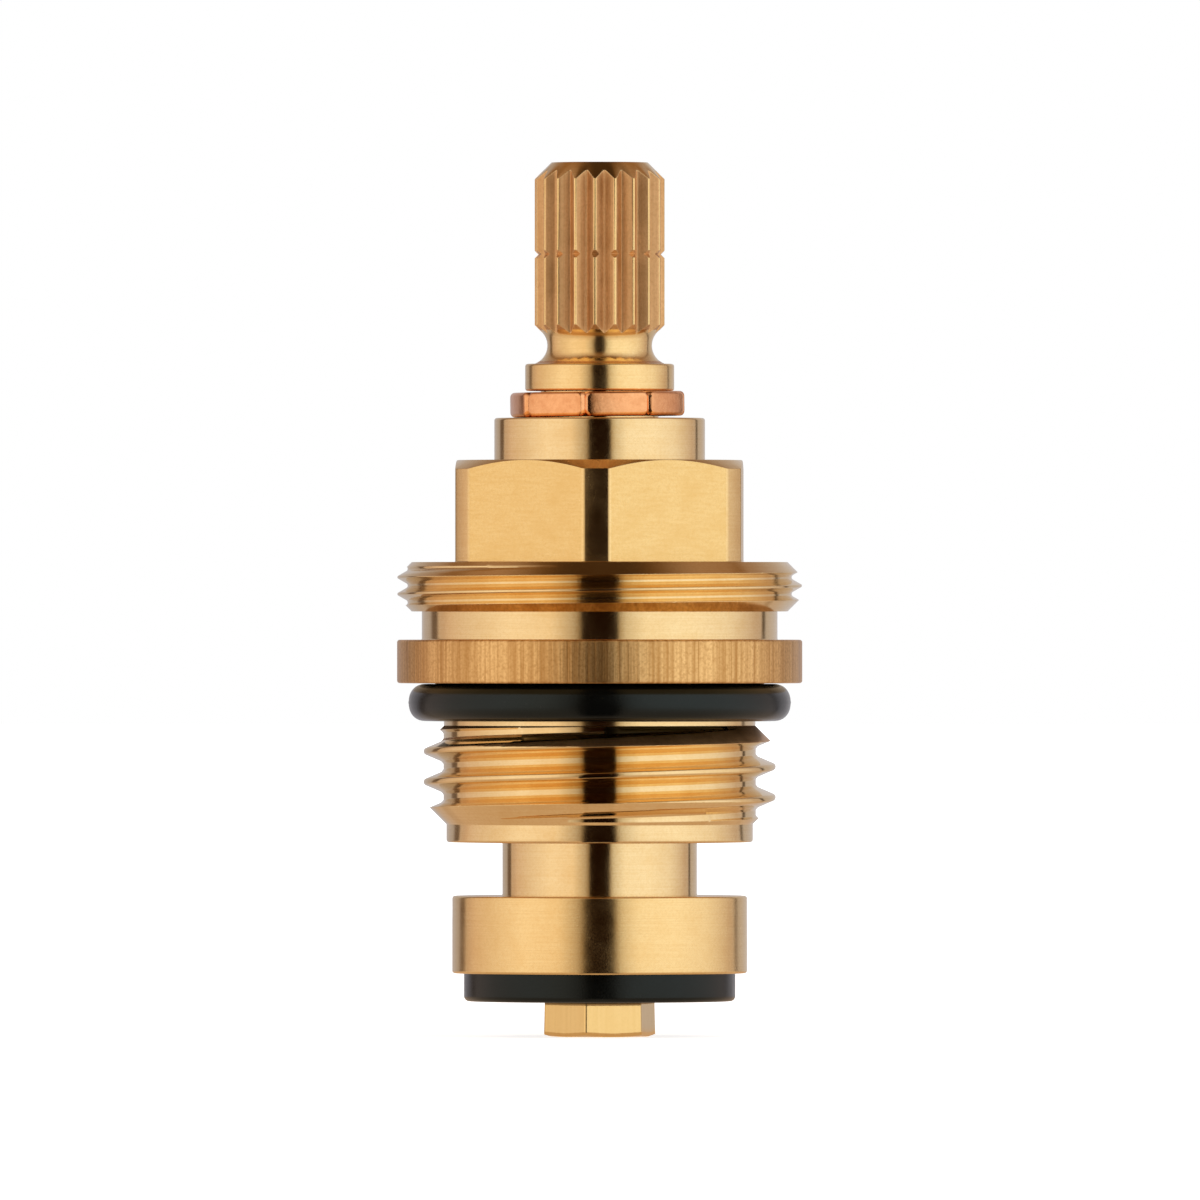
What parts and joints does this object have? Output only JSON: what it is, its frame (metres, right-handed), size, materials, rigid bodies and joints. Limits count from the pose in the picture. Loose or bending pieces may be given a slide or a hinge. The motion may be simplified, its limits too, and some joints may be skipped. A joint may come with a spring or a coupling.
{
  "type": "faucet stem",
  "caption": "Brass headwork for a washer-type tap: a splined spindle in a threaded hexagonal body lifts a piston that carries a rubber valve washer.",
  "frame": {"origin": "on the axis, in the plane of the flange's underside, which seats on the tap", "axes": "+Z along the axis towards the handle end, -Y to the side that the picture shows"},
  "size_m": [0.024, 0.024, 0.0519],
  "materials": {
    "body_brass": "fine-turned, bare; drawn-bar streaks on the flange",
    "spindle_brass": "satin, milled spline",
    "piston_brass": "fine-turned, bare",
    "screw_brass": "satin",
    "copper": "copper-coloured, satin, tumbled edges",
    "rubber": "moulded, satin, with a faint parting line",
    "washer_rubber": "moulded, matt",
    "slip_plastic": "smooth, natural acetal"
  },
  "bodies": {
    "body": {"body": "body_brass", "flange_o_ring": "rubber"},
    "spindle": {"spindle": "spindle_brass", "retaining_clip": "copper", "upper_o_ring": "rubber", "lower_o_ring": "rubber", "thrust_washer": "slip_plastic"},
    "piston": {"piston": "piston_brass", "piston_o_ring": "rubber", "valve_washer": "washer_rubber", "washer_screw": "screw_brass"}
  },
  "joints": [
    {"name": "spindle_turn", "type": "hinge", "parent": "body", "child": "spindle", "pos_m": [0, 0, 0.01573], "axis": [0, 0, 1], "range_deg": [-288, 432]},
    {"name": "piston_lift", "type": "slide", "parent": "body", "child": "piston", "axis": [0, 0, 1], "range_m": [-0.002, 0.003]}
  ],
  "couplings": [
    {"joint": "spindle_turn", "follows": "piston_lift", "rad_per_m": 2513.3}
  ]
}
